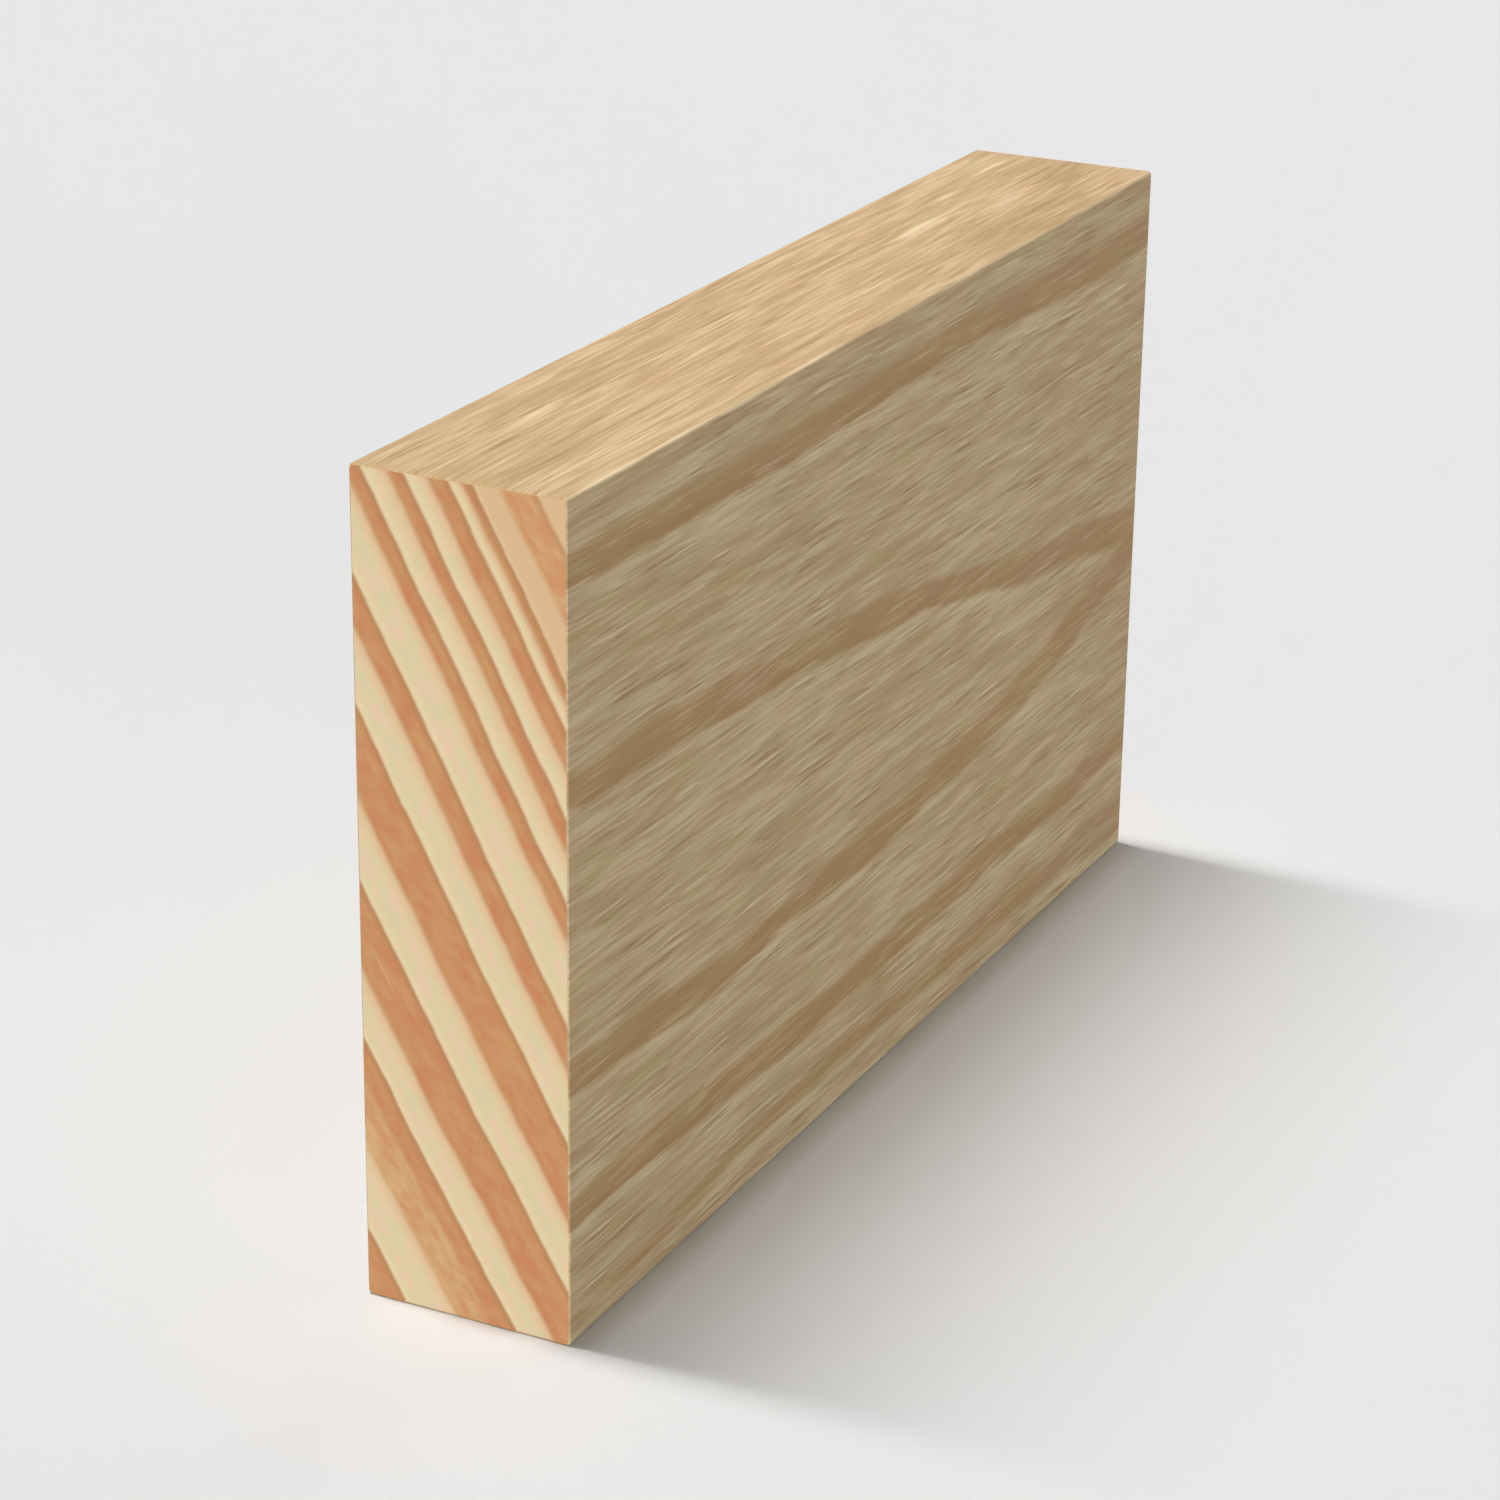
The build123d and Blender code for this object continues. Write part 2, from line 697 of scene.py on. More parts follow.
class LongGrain(WoodFinish):
    """What the wide faces and the narrow edges share: fine streaks and faint tints along the grain.

    Attributes:
        layer_step: What each next layer of streaks adds to the seed.
        fine_step: What the fine layers add to it.
        gain: How soon the streaks reach their full strength, which is most.
        lip_side: From a dash's random number to the side that its pale lip is on, and its slope.
    """

    body_tone = tone(201, 177, 136)
    body_pale = tone(205, 185, 146)
    body_deep = tone(197, 168, 125)
    pink_tint = tone(209, 173, 139)
    olive_tint = tone(198, 182, 134)
    pale_streak = tone(236, 219, 180)
    dark_streak = tone(172, 142, 102)
    drifts = Patches(22.0, 4.0, step=2.0, detail=2.0)
    drift_span = (0.0, 0.25)
    tints = Patches(8.0, 1.7, step=61.0, detail=2.0)
    tint_span = (0.02, 0.2)
    tint_share = 0.65
    bends = Patches(26.0, 5.0, step=31.0)
    layers = (
        Patches(19.0, 2.3, 0.8),
        Patches(13.0, 1.2, 1.15),
        Patches(10.0, 0.6, 1.05),
    )
    fine_layers = (
        Patches(7.5, 0.42, 1.75),
        Patches(4.8, 0.24, 1.75),
    )
    layer_step = 5.3
    fine_step = 21.0
    clusters = Patches(9.0, 2.0, step=41.0)
    cluster_span = (-0.02, 0.16)
    fine_shares = (0.55, 1.3)
    gain = 1.75
    most = 0.58
    dashes = (
        Patches(5.2, 0.5, 0.8, step=51.0),
        Patches(9.0, 0.85, 0.75, step=58.0),
    )
    dash_shares = (0.35, 1.0)
    dash_reach = (0.5, 0.12)
    dash_chance = (0.15, 0.6)
    lip_side: Rescaling = (0.25, 0.35, 6.0, -6.0)
    lip_shift = 0.35
    lip_range = (-1.0, 0.6)
    nap = Patches(4.0, 0.3, step=55.0)

    def ground(self, spot: Spot) -> Reading:
        """Works out the plain wood's colour, without streaks.

        Args:
            spot: The point of the surface.

        Returns:
            The colour.
        """
        drift, tint = (spot.noise(patches, self.seed) for patches in (self.drifts, self.tints))
        base = drift.mottle(self.body_tone, self.body_pale, self.body_deep, self.drift_span)
        return tint.mottle(base, self.pink_tint, self.olive_tint, self.tint_span, self.tint_share)

    def streaks(self, spot: Spot) -> Reading:
        """Lays fine streaks of several sizes over each other, livelier in some patches than in others.

        Args:
            spot: The point of the surface.

        Returns:
            A number around 0, above it for pale streaks and below it for dark ones.
        """
        bent = Spot(spot.along, spot.beside + spot.noise(self.bends, self.seed))
        broad = self.layered(bent, self.layers, self.seed)
        fine = self.layered(bent, self.fine_layers, self.seed + self.fine_step)
        clustered = spot.noise(self.clusters, self.seed).rise(*self.cluster_span)
        fine = fine * clustered.rescale(0.0, 1.0, *self.fine_shares)
        held = ((broad + fine) * self.gain).math("TANH")
        dashed = self.dashed(bent) * clustered.rescale(0.0, 1.0, *self.dash_shares)
        return held * self.most + dashed

    def layered(self, spot: Spot, layers: tuple[Patches, ...], seed: float) -> Reading:
        """Lays streaks of a few sizes over each other, as a number around 0."""
        return sum(spot.wave(layer, seed + self.layer_step * row) for row, layer in enumerate(layers))

    def dashed(self, spot: Spot) -> Reading:
        """Lays short crisp dashes, each a dark line with a pale lip beside it.

        Args:
            spot: The point of the surface.

        Returns:
            A number, above 0 for the pale lips and below it for the dark lines.
        """
        total: Number = 0.0
        darkest, palest = self.lip_range
        for dash in self.dashes:
            far, off, chance, side = spot.scattered(dash, self.seed + dash.step)
            shown = far.rise(*self.dash_reach) * chance.rise(*self.dash_chance)
            lip = off * side.rescale(*self.lip_side) - self.lip_shift
            total = shown * lip.at_least(darkest).at_most(palest) * dash.weight + total
        return total

    def fibres(self, places: Places) -> Reading:
        """Works out the planed fibres, as WoodFinish.fibres says."""
        return Spot(places.along, places.across + places.down).noise(self.nap, self.seed)

    def streaked(self, base: Reading, streaks: Reading) -> Reading:
        """Lays pale and dark streaks over a base colour."""
        return (streaks * -1.0).blend(streaks.blend(base, self.pale_streak), self.dark_streak)


@dataclass(frozen=True)
class Band:
    """One dark grain line of a wide face, which runs along the strip.

    Attributes:
        line: Its middle line: places along and down.
        breadth: Its breadth at the near end, the middle and the far end.
        depth: How dark it is, 0 to 1.
    """

    line: tuple[Span, ...]
    breadth: tuple[float, float, float]
    depth: float = 1.0


class WideFace(LongGrain):
    """A planed wide face: pale wood with a few broad brown grain lines and fine streaks.

    Attributes:
        upper_side: Where a line sets in, from its upper edge.
        lower_softness: From the share of the length to how softly a line stops at its lower edge.
        low_part: Where a line is darkest, from its lower edge.
        under_from: Where the pale wood under a line begins, from the same edge.
        under_until: Where it ends.
        least_in_threads: What threads of pale wood leave of a line, at mid length and the far end.
    """

    band_tone = tone(179, 145, 99)
    band_red = tone(183, 145, 105)
    band_dark = tone(171, 135, 88)
    pale_under = tone(216, 199, 158)
    calm_in_bands = 0.5
    low_share = 0.6
    widest = 8.0
    slow_bends = Patches(15.0, 4.0, 2.0, step=71.0, detail=2.0)
    quick_bends = Patches(8.0, 0.45, 1.1, step=81.0, detail=2.0)
    upper_side = (-0.5, 0.7)
    lower_softness: Rescaling = (0.6, 1.0, 0.22, 0.8)
    low_part = (-1.4, -0.2)
    under_from = (0.1, 0.5)
    under_until = (1.9, 0.7)
    patches = Patches(12.0, 3.0, step=91.0, detail=2.0)
    under_patches: Rescaling = (-0.15, 0.15, 0.0, 0.7)
    red_patches = (-0.1, 0.15)
    depth_patches: Rescaling = (-0.2, 0.05, 0.75, 1.0)
    threads = Patches(11.0, 0.55, step=97.0)
    thread_span = (-0.2, 0.0)
    least_in_threads = (0.75, 0.4)

    def __init__(self, sizes: StripSizes, name: str, bands: tuple[Band, ...], flecks: tuple[Fleck, ...],
                 seed: float) -> None:
        """Takes the strip's sizes and what is on this face.

        Args:
            sizes: The strip's sizes.
            name: The finish's name.
            bands: The face's grain lines.
            flecks: The streaks that stand out; on the face side, also painted highlights and painted shade.
            seed: The surface's seed.
        """
        super().__init__(sizes, seed)
        self.name = name
        self.bands = bands
        self.flecks = flecks

    def banding(self, spot: Spot) -> list[Reading]:
        """Finds the broad grain lines: soft above, crisp below.

        Args:
            spot: The point of the face.

        Returns:
            The share of grain line, how near its lower edge the point is, and the share of the pale wood
            just under a line, each 0 to 1.
        """
        share = spot.along / self.sizes.length
        down = spot.beside + spot.wave(self.slow_bends, self.seed) + spot.wave(self.quick_bends, self.seed)
        soft = share.rescale(*self.lower_softness)
        firm = soft * -1.0
        found: list[Number] = [0.0, 0.0, 0.0]
        for band in self.bands:
            near, mid, far = (breadth / 2 / self.widest for breadth in band.breadth)
            half = share.curve([(0.0, near), (1.0, far), (0.5, mid)]) * self.widest
            line = [(along / self.sizes.length, place / self.sizes.width) for along, place in band.line]
            off = down - share.curve(line) * self.sizes.width
            past = off - half
            inside = (off + half).rise(*self.upper_side) * past.rise(soft, firm)
            lower = past.rise(*self.low_part) * inside
            under = past.rise(*self.under_from) * past.rise(*self.under_until)
            new = (inside, lower, under)
            found = [(part * band.depth).at_least(before) for part, before in zip(new, found)]
        return found

    def colour(self, places: Places) -> Reading:
        """Works out the face's colour, as WoodFinish.colour says.

        Args:
            places: The point's places.

        Returns:
            The colour.
        """
        spot = Spot(places.along, places.down)
        banded, low, under = self.banding(spot)
        patches = spot.noise(self.patches, self.seed)
        base = (under * patches.rescale(*self.under_patches)).blend(self.ground(spot), self.pale_under)
        line = patches.rise(*self.red_patches).blend(self.band_tone, self.band_red)
        line = (low * self.low_share).blend(line, self.band_dark)
        least = spot.along.rescale(self.sizes.length / 2, self.sizes.length, *self.least_in_threads)
        threads = spot.noise(self.threads, self.seed).rescale(*self.thread_span, least, 1.0)
        banded = banded * patches.rescale(*self.depth_patches) * threads
        streaks = self.streaks(spot) * (1.0 - banded * self.calm_in_bands)
        return self.streaked(banded.blend(base, line), streaks + spot.marked(self.flecks))


class NarrowEdge(LongGrain):
    """A planed narrow edge: even tan wood with pale and dark streaks and no broad grain lines."""

    name = "narrow_edge_grain"
    body_tone = tone(203, 171, 125)
    body_pale = tone(207, 173, 129)
    body_deep = tone(199, 169, 121)
    pale_streak = tone(240, 213, 172)
    dark_streak = tone(176, 140, 90)
    pink_tint = tone(215, 173, 131)
    olive_tint = tone(202, 178, 125)
    tint_share = 0.45
    # Darker painted shade on this edge's rims at the sawn ends.
    rim_shade_tone = tone(160, 128, 88)
    rim_shade_share = 0.8
    other_edge = 40.0
    drifts = Patches(30.0, 3.0, step=2.0, detail=2.0)
    layers = (
        Patches(40.0, 4.0, 0.9),
        Patches(28.0, 2.3, 0.75),
        Patches(17.0, 1.2, 1.05),
        Patches(10.0, 0.6, 1.65),
    )
    dashes = (
        Patches(6.0, 0.5, 0.65, step=51.0),
        Patches(10.0, 0.9, 0.5, step=58.0),
    )
    flecks = (
        # Painted shade: broad darker patches over the far end of the top, on the face side, against the
        # lamps' sheen there.
        Fleck(92.0, 15.5, 62.0, 9.0, -0.42),
        Fleck(109.0, 10.5, 26.0, 11.0, -0.42),
        Fleck(16.0, 6.1, 20.0, 1.7, 0.75),
        Fleck(24.5, 1.8, 12.0, 1.3, 0.6),
        Fleck(36.5, 9.1, 20.0, 1.1, 0.6),
        Fleck(65.0, 2.0, 20.0, 1.5, 0.6),
        Fleck(83.0, 8.0, 19.0, 2.0, 0.85),
        Fleck(95.5, 5.2, 9.0, 1.1, 0.6),
        Fleck(107.0, 4.3, 14.0, 1.4, 0.7),
        # Pale line along the top's front arris: some wear, and a painted highlight.
        Fleck(10.0, 17.85, 34.0, 0.55, 1.0),
        Fleck(39.0, 17.85, 13.0, 0.45, 0.7),
        Fleck(24.0, 13.2, 9.0, 0.6, 0.5),
        Fleck(47.0, 12.7, 7.0, 0.6, 0.5),
        Fleck(63.0, 12.8, 10.0, 0.6, 0.5),
        Fleck(9.0, 7.4, 8.0, 0.9, -0.6),
        Fleck(18.0, 6.8, 8.0, 0.5, -0.7),
        Fleck(2.0, 11.0, 8.0, 0.8, -0.6),
        Fleck(18.5, 10.6, 7.0, 0.6, -0.5),
        Fleck(22.0, 12.4, 9.0, 0.6, -0.5),
        Fleck(47.0, 5.8, 12.0, 0.6, -0.6),
        Fleck(68.0, 6.2, 20.0, 1.2, -0.6),
        Fleck(106.0, 8.9, 13.0, 0.7, -0.8),
        Fleck(96.0, 6.0, 9.0, 0.6, -0.6),
        Fleck(72.0, 17.0, 8.0, 0.6, -0.5),
    )

    def colour(self, places: Places) -> Reading:
        """Works out the edge's colour, as WoodFinish.colour says. The lower edge is another stretch of it.

        Args:
            places: The point's places.

        Returns:
            The colour.
        """
        lower = places.down.rise(self.sizes.width / 2, self.sizes.width)
        spot = Spot(places.along, places.across + lower * self.other_edge)
        return self.streaked(self.ground(spot), self.streaks(spot) + spot.marked(self.flecks))


class Surface(Enum):
    """The strip's surfaces, by the finish that each takes."""

    SAWN_END = "sawn_end"
    FACE_SIDE = "face_side"
    BACK = "back"
    NARROW_EDGE = "narrow_edge"


FACE_SIDE_BANDS = (
    Band(((0.0, 5.4), (33.0, 5.7), (67.0, 5.2), (92.0, 5.5), (113.0, 5.5)), (3.0, 2.9, 3.5)),
    Band(((0.0, 22.2), (20.0, 23.0), (40.0, 24.4), (55.0, 25.6), (66.0, 27.0), (80.0, 29.7), (95.0, 31.9),
          (113.0, 34.2)), (3.1, 3.0, 3.6)),
    Band(((0.0, 45.4), (20.0, 46.2), (40.0, 46.1), (64.0, 45.0), (80.0, 43.7), (90.0, 42.0), (100.0, 39.9),
          (113.0, 36.2)), (3.3, 3.0, 4.0)),
    Band(((0.0, 57.1), (16.0, 56.6), (34.0, 57.3), (60.0, 57.3), (90.0, 57.0), (113.0, 56.7)),
         (2.8, 2.9, 2.4)),
    Band(((0.0, 65.4), (20.0, 64.8), (32.0, 63.6), (60.0, 63.4), (90.0, 63.9), (113.0, 64.8)),
         (2.0, 2.0, 4.2), 0.8),
)

FACE_SIDE_FLECKS_AND_PAINTED_LIGHT = (
    # Pale line along the top front arris: some wear, and a painted highlight.
    Fleck(10.0, 0.05, 34.0, 0.4, 0.7),
    Fleck(39.0, 0.05, 13.0, 0.35, 0.5),
    # Painted shade: a broad darkening over the face's far end, and a long one along its top stretch, where
    # more bounced light falls.
    Fleck(110.0, 34.0, 44.0, 110.0, -0.16),
    Fleck(75.0, 2.0, 130.0, 16.0, -0.18),
    # A small bright painted glint near the far end.
    Fleck(106.5, 9.6, 5.0, 0.6, 1.0),
    Fleck(103.0, 9.6, 11.0, 0.8, 0.35),
    Fleck(106.0, 11.8, 6.0, 0.9, 0.35),
    Fleck(84.0, 19.3, 7.0, 0.5, 0.55),
    Fleck(34.5, 7.9, 6.0, 0.9, 0.4),
    Fleck(16.5, 7.3, 6.0, 0.5, 0.4),
    Fleck(88.0, 3.2, 5.0, 0.4, 0.45),
    Fleck(14.0, 3.4, 5.0, 0.5, -0.5),
    Fleck(93.5, 12.5, 5.0, 0.4, -0.6),
    Fleck(97.0, 24.4, 9.0, 0.9, -0.5),
    Fleck(12.0, 41.4, 12.0, 0.5, -0.5),
    Fleck(31.5, 39.1, 6.0, 0.6, -0.55),
    Fleck(91.0, 51.3, 10.0, 1.1, -0.5),
    Fleck(9.0, 61.9, 9.0, 0.5, -0.5),
    Fleck(11.0, 38.5, 5.0, 0.4, 0.4),
)

BACK_BANDS = (
    Band(((0.0, 11.0), (45.0, 10.2), (80.0, 11.4), (113.0, 10.6)), (3.4, 3.0, 3.6)),
    Band(((0.0, 23.4), (40.0, 22.3), (75.0, 21.4), (113.0, 22.6)), (5.4, 4.6, 5.0), 0.9),
    Band(((0.0, 36.8), (35.0, 37.6), (80.0, 38.8), (113.0, 38.0)), (5.8, 5.2, 4.4), 0.9),
    Band(((0.0, 51.0), (50.0, 52.4), (90.0, 51.2), (113.0, 51.6)), (4.6, 4.2, 5.2), 0.85),
    Band(((0.0, 65.2), (60.0, 64.4), (113.0, 65.6)), (3.0, 3.4, 3.0), 0.9),
)

BACK_FLECKS = (
    Fleck(24.0, 16.2, 8.0, 0.6, 0.5),
    Fleck(71.0, 30.4, 9.0, 0.7, 0.45),
    Fleck(96.0, 45.1, 7.0, 0.5, 0.5),
    Fleck(40.0, 58.6, 10.0, 0.7, -0.5),
    Fleck(60.0, 5.2, 8.0, 0.5, -0.5),
)


@dataclass(frozen=True)
class StripBody:
    """The strip itself: its sizes, its rings, its finishes, and how finely it is divided."""

    sizes: StripSizes
    rings: GrowthRings
    finishes: dict[Surface, bpy.types.Material]
    cells_along: int = 116
    cells_across: int = 48
    cells_down: int = 168
    arris_cells: int = 3
    end_cells: int = 1
    relief: float = 0.05
    nick: float = 0.05
    nick_length: float = 2.3
    nick_span: Span = (0.02, 0.3)
    seed: float = 4.0

    def inputs(self) -> dict[str, float | int]:
        """Names the geometry tree's inputs, with their values."""
        return {
            "Length": self.sizes.length,
            "Thickness": self.sizes.thickness,
            "Width": self.sizes.width,
            "Arris Radius": self.sizes.arris_radius,
            "End Ease": self.sizes.end_ease,
            "Cells Along": self.cells_along,
            "Cells Across": self.cells_across,
            "Cells Down": self.cells_down,
            "Relief": self.relief,
            "Nick": self.nick,
            "Seed": self.seed,
        }

    def build(self) -> bpy.types.Object:
        """Makes the strip's object and stands it for the CAD node.

        Returns:
            The finished object.
        """
        carrier = bpy.data.objects.new("strip_rule", bpy.data.meshes.new("strip_rule"))
        bpy.context.scene.collection.objects.link(carrier)
        growth = carrier.modifiers.new("growth", "NODES")
        growth.node_group = StripGrowth(self).grow()
        values = self.inputs()
        for item in growth.node_group.interface.items_tree:
            if item.in_out == "INPUT":
                growth[item.identifier] = values[item.name]
        seen = carrier.evaluated_get(bpy.context.evaluated_depsgraph_get())
        mesh = bpy.data.meshes.new_from_object(seen)
        carrier.modifiers.remove(growth)
        bpy.data.objects.remove(carrier)
        mesh.name = PIECE
        strip = bpy.data.objects.new(PIECE, mesh)
        bpy.context.scene.collection.objects.link(strip)
        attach(strip, BODY)
        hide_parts(STRIP_NODE)
        log.info("%s: %d vertices, %d faces", PIECE, len(mesh.vertices), len(mesh.polygons))
        return strip


class StripGrowth:
    """The geometry tree that grows the strip by rule: a fine box, then eased, sawn, shaded and dressed."""

    mostly = 0.5
    crisp_from = math.radians(28)
    least_reach = 1e-6

    def __init__(self, body: StripBody) -> None:
        """Makes the tree, with a mesh output and the strip's named inputs.

        Args:
            body: The strip that it grows.
        """
        self.body = body
        self.tree = bpy.data.node_groups.new("strip_from_sizes", "GeometryNodeTree")
        sockets = self.tree.interface
        sockets.new_socket("Geometry", in_out="OUTPUT", socket_type="NodeSocketGeometry")
        for name, value in body.inputs().items():
            kind = "NodeSocketInt" if isinstance(value, int) else "NodeSocketFloat"
            sockets.new_socket(name, in_out="INPUT", socket_type=kind)
        self.sheet = NodeSheet(self.tree)
        outputs = self.sheet.add("NodeGroupInput").outputs
        self.given = {name: Reading(self.sheet, outputs[name]) for name in body.inputs()}
        self.size = [self.given[name] for name in ("Length", "Thickness", "Width")]
        self.cells = [self.given[name] for name in ("Cells Along", "Cells Across", "Cells Down")]
        self.halves = [size * 0.5 for size in self.size]

    def grow(self) -> bpy.types.NodeTree:
        """Takes all the steps.

        Returns:
            The finished tree.
        """
        self.box()
        self.ease()
        self.saw()
        self.step("GeometryNodeTransform", {"Translation": self.sheet.join(0.0, 0.0, self.halves[2])})
        self.step("GeometryNodeTransform", {"Scale": (MM, MM, MM)})
        self.shade()
        self.step("GeometryNodeRealizeInstances")
        self.dress()
        self.sheet.add("NodeGroupOutput", {"Geometry": self.mesh})
        return self.tree

    def step(self, kind: str, given: Inputs | None = None, **settings: object) -> None:
        """Puts the strip through one more node, as NodeSheet.add says."""
        self.mesh = self.sheet.read(kind, {"Geometry": self.mesh, **(given or {})}, **settings)

    def box(self) -> None:
        """Starts with a fine box, and notes on each cell which way it faces."""
        counts = {f"Vertices {axis}": cells + 1 for axis, cells in zip("XYZ", self.cells)}
        box = self.sheet.read("GeometryNodeMeshCube", {"Size": self.sheet.join(*self.size), **counts})
        note = self.sheet.add("GeometryNodeCaptureAttribute", {"Geometry": box}, domain="FACE")
        note.capture_items.new("VECTOR", "Facing")
        self.sheet.feed(note.inputs["Facing"], self.sheet.read("GeometryNodeInputNormal"))
        self.mesh = Reading(self.sheet, note.outputs["Geometry"])
        self.facing = Reading(self.sheet, note.outputs["Facing"])

    def ease(self) -> None:
        """Rounds the long arrises and bevels the rims of both ends."""
        radius, bevel = self.given["Arris Radius"], self.given["End Ease"]
        rows = (self.body.end_cells, self.body.arris_cells, self.body.arris_cells)
        position = self.sheet.read("GeometryNodeInputPosition").split()
        x, *section = map(self.gathered, position, self.halves, self.cells, rows, (bevel, radius, radius))
        inset = (bevel - (self.halves[0] - abs(x))).at_least(0.0)
        y, z = (place * ((half - inset) / half)
                for place, half in zip(self.rounded(section, radius), self.halves[1:]))
        self.step("GeometryNodeSetPosition", {"Position": self.sheet.join(x, y, z)})

    @staticmethod
    def gathered(place: Reading, half: Reading, cells: Reading, edge_cells: int, edge: Reading) -> Reading:
        """Moves evenly spaced vertices so that a few rows of cells lie in the eased edge.

        Args:
            place: The vertex's place on one axis, from the middle.
            half: Half the size on that axis.
            cells: How many cells the axis has.
            edge_cells: How many of them lie in each eased edge.
            edge: The eased edge's size.

        Returns:
            The new place on that axis.
        """
        share = abs(place) / half
        bend = (cells - 2.0 * edge_cells) / cells
        inner = share.rescale(0.0, bend, 0.0, half - edge)
        outer = share.rescale(bend, 1.0, 0.0, edge)
        return (inner + outer) * place.math("SIGN")

    def rounded(self, section: list[Reading], radius: Reading) -> list[Reading]:
        """Rounds the section's four corners.

        Args:
            section: The places across and up, from the middle.
            radius: The corners' radius.

        Returns:
            The new places across and up.
        """
        flats = [half - radius for half in self.halves[1:]]
        overs = [(abs(place) - flat).at_least(0.0) for place, flat in zip(section, flats)]
        reach = self.sheet.join(*overs).reach().at_least(self.least_reach)
        shrink = overs[0].at_least(overs[1]) / reach
        return [(over * shrink + abs(place).at_most(flat)) * place.math("SIGN")
                for place, flat, over in zip(section, flats, overs)]

    def saw(self) -> None:
        """Sinks the soft earlywood of the sawn ends a little, and nicks the arrises."""
        position = self.sheet.read("GeometryNodeInputPosition")
        x, y, z = position.split()
        half_x, half_y, half_z = self.halves
        rings = self.body.rings
        full, _ = rings.latewood(rings.coordinate(Places(x + half_x, half_y - y, half_z - z)))
        at_end = (half_x - abs(x)).rise(self.given["End Ease"], 0.0)
        sunk = (1.0 - full) * self.given["Relief"] * at_end
        shift = self.sheet.join(*[self.given["Seed"]] * 3)
        rough = position.scaled(1 / self.body.nick_length).vector("ADD", shift).noise()
        corner = (half_y - abs(y)).at_least(half_z - abs(z))
        on_arris = corner.rise(self.given["Arris Radius"], 0.0)
        worn = rough.rise(*self.body.nick_span) * self.given["Nick"] * on_arris
        moves = [depth * place.math("SIGN") * -1.0 for depth, place in zip((sunk, worn, worn), (x, y, z))]
        self.step("GeometryNodeSetPosition", {"Offset": self.sheet.join(*moves)})

    def shade(self) -> None:
        """Shades the faces smooth and keeps the bevels' edges crisp."""
        angle = self.sheet.read("GeometryNodeInputMeshEdgeAngle", output="Unsigned Angle")
        crisp = {"Selection": angle.math("GREATER_THAN", self.crisp_from), "Shade Smooth": False}
        self.step("GeometryNodeSetShadeSmooth", domain="FACE")
        self.step("GeometryNodeSetShadeSmooth", crisp, domain="EDGE")

    def dress(self) -> None:
        """Gives each surface its finish, by the way that the plain box faced there."""
        x, y, z = self.facing.split()
        chosen = {
            Surface.SAWN_END: abs(x).math("GREATER_THAN", self.mostly),
            Surface.FACE_SIDE: y.math("LESS_THAN", -self.mostly),
            Surface.BACK: y.math("GREATER_THAN", self.mostly),
            Surface.NARROW_EDGE: abs(z).math("GREATER_THAN", self.mostly),
        }
        for surface, selection in chosen.items():
            finish = self.body.finishes[surface]
            self.step("GeometryNodeSetMaterial", {"Selection": selection, "Material": finish})


@dataclass(frozen=True)
class Fan:
    """Low lamps, spread round one side of the strip.

    Attributes:
        name: What its lamps are called.
        middle: The way to its middle, in degrees from the face side towards the far end.
        reach: How far it goes to each side of that.
        strength: How much light it sheds on a surface that faces it, where the open floor has 1.
        elevation: How high its lamps stand, in degrees.
        lamps: How many it has.
        lamp_size: How wide each looks from the strip, in degrees.
    """

    name: str
    middle: float
    reach: float
    strength: float
    elevation: float
    lamps: int
    lamp_size: float

    def share(self) -> float:
        """Gives its share of the light on the open floor."""
        return self.strength * math.sin(math.radians(self.elevation))


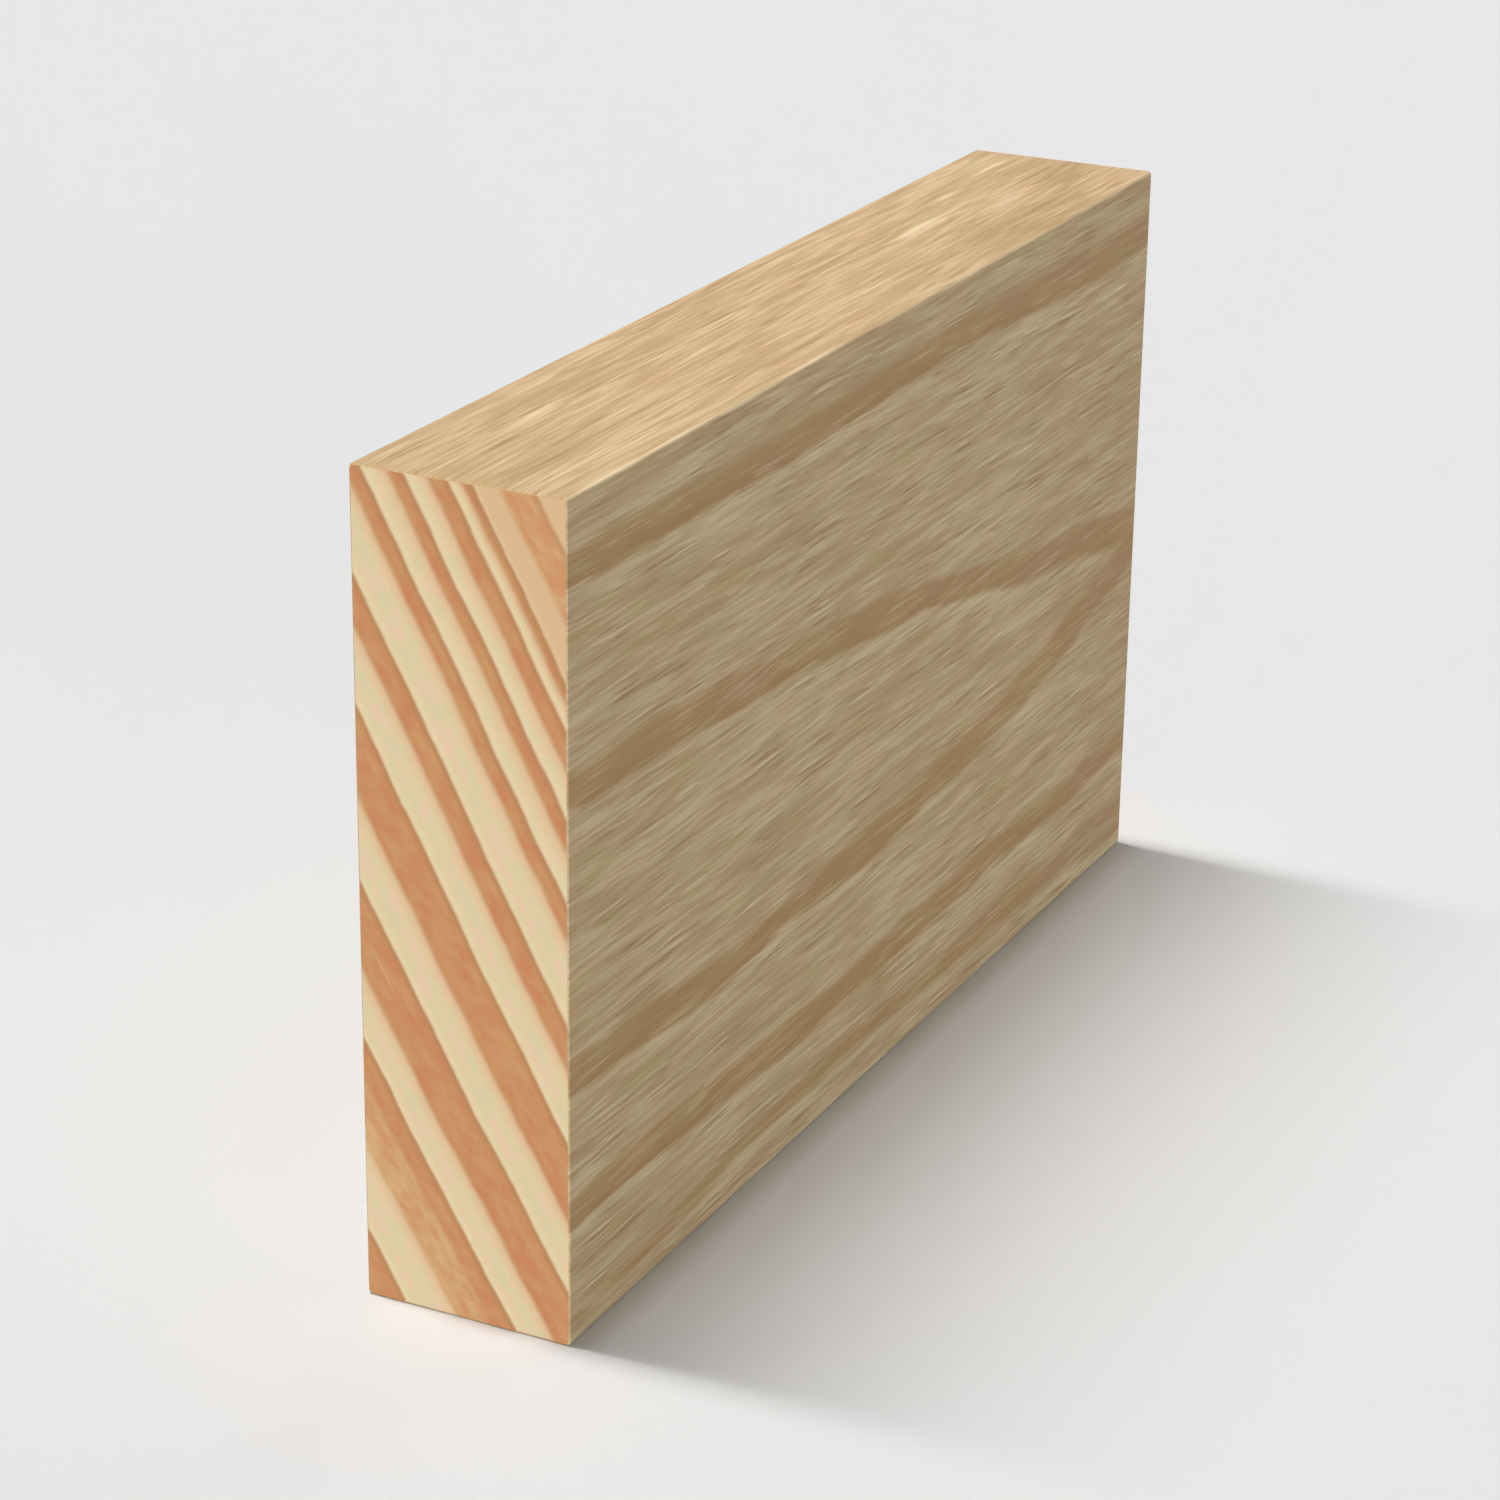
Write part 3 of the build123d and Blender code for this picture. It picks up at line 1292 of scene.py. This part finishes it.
@dataclass(frozen=True)
class Studio:
    """A pale floor and plain light. Shares of light are of what falls on the floor in the open."""

    floor_tone: Colour = tone(232, 232, 232)
    floor_bounce: Colour = tone(104, 104, 104)
    floor_reach: float = 30.0
    floor_drop: float = 0.01
    sky_tone: Colour = tone(255, 255, 255)
    sky_share: float = 0.08
    back_azimuth: float = 180.0
    overhead_share: float = 0.12
    overhead_elevation: float = 88.7
    overhead_size: float = 2.0
    row_low: float = 54.0
    row_high: float = 86.0
    row_fades_from: float = 50.0
    row_full_from: float = 77.0
    row_lamps: int = 9
    row_lamp_size: float = 5.0
    fans: tuple[Fan, ...] = (
        Fan("near_fan", -67.2, 45.0, 1.0, 4.0, 9, 8.0),
        Fan("far_fan", 85.0, 19.0, 0.4, 9.0, 5, 9.0),
        Fan("back_fan", 168.0, 28.0, 0.36, 4.0, 6, 8.0),
    )

    def floor(self) -> bpy.types.Object:
        """Makes the floor.

        Returns:
            The floor's object.
        """
        mesh = bpy.data.meshes.new("floor")
        reach, height = self.floor_reach, -self.floor_drop * MM
        ways = ((-1, -1), (1, -1), (1, 1), (-1, 1))
        mesh.from_pydata([(x * reach, y * reach, height) for x, y in ways], [], [(0, 1, 2, 3)])
        made = bpy.data.materials.new("pale_floor")
        made.use_nodes = True
        sheet = NodeSheet(made.node_tree)
        seen = sheet.read("ShaderNodeBsdfDiffuse", {"Color": self.floor_tone})
        lit = sheet.read("ShaderNodeBsdfDiffuse", {"Color": self.floor_bounce})
        sheet.add("ShaderNodeOutputMaterial", {"Surface": self.seen_or_lit(seen, lit)})
        mesh.materials.append(made)
        floor = bpy.data.objects.new("floor", mesh)
        bpy.context.scene.collection.objects.link(floor)
        return floor

    def sky(self) -> None:
        """Makes the even light from all round, and the pale backdrop that the camera sees."""
        world = bpy.data.worlds.new("studio")
        bpy.context.scene.world = world
        world.use_nodes = True
        sheet = NodeSheet(world.node_tree)
        seen = sheet.read("ShaderNodeBackground", {"Color": self.floor_tone, "Strength": 1.0})
        lit = sheet.read("ShaderNodeBackground", {"Color": self.sky_tone, "Strength": self.sky_share})
        sheet.add("ShaderNodeOutputWorld", {"Surface": self.seen_or_lit(seen, lit)})

    @staticmethod
    def seen_or_lit(seen: Reading, lit: Reading) -> Reading:
        """Joins what the camera and reflections see with what lights the strip.

        Args:
            seen: The shader that is seen.
            lit: The shader that gives light.

        Returns:
            The joined shader.
        """
        path = seen.sheet.add("ShaderNodeLightPath").outputs
        names = ("Is Camera Ray", "Is Glossy Ray", "Is Transmission Ray")
        camera, glossy, through = (Reading(seen.sheet, path[name]) for name in names)
        direct = camera.at_least(glossy).at_least(through)
        return seen.sheet.read("ShaderNodeMixShader", {0: direct, 1: lit, 2: seen})

    @staticmethod
    def lamp(name: str, azimuth: float, elevation: float, share: float, size: float) -> None:
        """Hangs one far lamp.

        Args:
            name: The lamp's name.
            azimuth: The way to it, in degrees from the face side towards the far end.
            elevation: How high it stands, in degrees.
            share: Its share of the light on the open floor.
            size: How wide it looks from the strip, in degrees.
        """
        side, height = math.radians(azimuth), math.radians(elevation)
        level = math.cos(height)
        light = bpy.data.lights.new(name, "SUN")
        light.energy = math.pi * share / math.sin(height)
        light.angle = math.radians(size)
        lamp = bpy.data.objects.new(name, light)
        lamp.location = (math.sin(side) * level, -math.cos(side) * level, math.sin(height))
        lamp.rotation_mode = "QUATERNION"
        lamp.rotation_quaternion = lamp.location.to_track_quat("Z", "Y")
        bpy.context.scene.collection.objects.link(lamp)

    def lamps(self) -> None:
        """Hangs the overhead lamp, the row of lamps over the back, and the low fans round the strip."""
        over, back = self.overhead_elevation, self.back_azimuth
        self.lamp("overhead_lamp", back, over, self.overhead_share, self.overhead_size)
        left = 1 - self.sky_share - self.overhead_share - sum(fan.share() for fan in self.fans)
        row = self.spread(self.row_low, self.row_high, self.row_lamps)
        ramp = self.row_full_from - self.row_fades_from
        weights = [min(1.0, (place - self.row_fades_from) / ramp) for place in row]
        for number, (place, weight) in enumerate(zip(row, weights)):
            self.lamp(f"row_lamp_{number}", back, place, left * weight / sum(weights), self.row_lamp_size)
        for fan in self.fans:
            self.hang(fan)

    def hang(self, fan: Fan) -> None:
        """Hangs one fan of lamps, strongest in its middle.

        Args:
            fan: The fan.
        """
        places = self.spread(-fan.reach, fan.reach, fan.lamps)
        weights = [math.cos(math.radians(place)) for place in places]
        for number, (place, weight) in enumerate(zip(places, weights)):
            share = fan.share() * weight / sum(weights)
            self.lamp(f"{fan.name}_{number}", fan.middle + place, fan.elevation, share, fan.lamp_size)

    @staticmethod
    def spread(low: float, high: float, count: int) -> list[float]:
        """Gives evenly spaced places from low to high."""
        return [low + (high - low) * number / (count - 1) for number in range(count)]


@dataclass(frozen=True)
class ViewPoint:
    """The camera, where the photograph was taken from. Angles are in degrees."""

    place: tuple[float, float, float] = (-295.97, -141.67, 157.0)
    azimuth: float = -63.765
    elevation: float = 21.506
    roll: float = 0.782
    lens: float = 97.92
    sensor: float = 36.0
    nearest: float = 0.01
    farthest: float = 50.0

    def camera(self) -> bpy.types.Object:
        """Makes the camera and gives it to the scene.

        Returns:
            The camera's object.
        """
        data = bpy.data.cameras.new("view")
        data.lens = self.lens
        data.sensor_width = self.sensor
        data.clip_start, data.clip_end = self.nearest, self.farthest
        turn = Matrix.Rotation(math.radians(self.azimuth), 4, "Z")
        tilt = Matrix.Rotation(math.radians(90 - self.elevation), 4, "X")
        lean = Matrix.Rotation(math.radians(self.roll), 4, "Z")
        camera = bpy.data.objects.new("view", data)
        camera.matrix_world = Matrix.Translation(Vector(self.place) * MM) @ turn @ tilt @ lean
        bpy.context.scene.collection.objects.link(camera)
        bpy.context.scene.camera = camera
        return camera


def main() -> None:
    """Builds the camera, the studio and the strip, in that order."""
    logging.basicConfig(level=logging.INFO, format="%(name)s: %(message)s")
    bpy.context.scene.view_settings.view_transform = "Standard"
    ViewPoint().camera()
    studio = Studio()
    studio.floor()
    studio.sky()
    studio.lamps()
    log.info("camera, floor and lamps are in place")
    sizes = StripSizes.from_frame()
    rings = GrowthRings()
    face_side = WideFace(sizes, "face_side_grain", FACE_SIDE_BANDS, FACE_SIDE_FLECKS_AND_PAINTED_LIGHT, seed=1.0)
    finishes = {
        Surface.SAWN_END: SawnEnd(sizes, rings, seed=0.0).material(),
        Surface.FACE_SIDE: face_side.material(),
        Surface.BACK: WideFace(sizes, "back_grain", BACK_BANDS, BACK_FLECKS, seed=21.0).material(),
        Surface.NARROW_EDGE: NarrowEdge(sizes, seed=11.0).material(),
    }
    StripBody(sizes, rings, finishes).build()


if __name__ == "__main__":
    main()
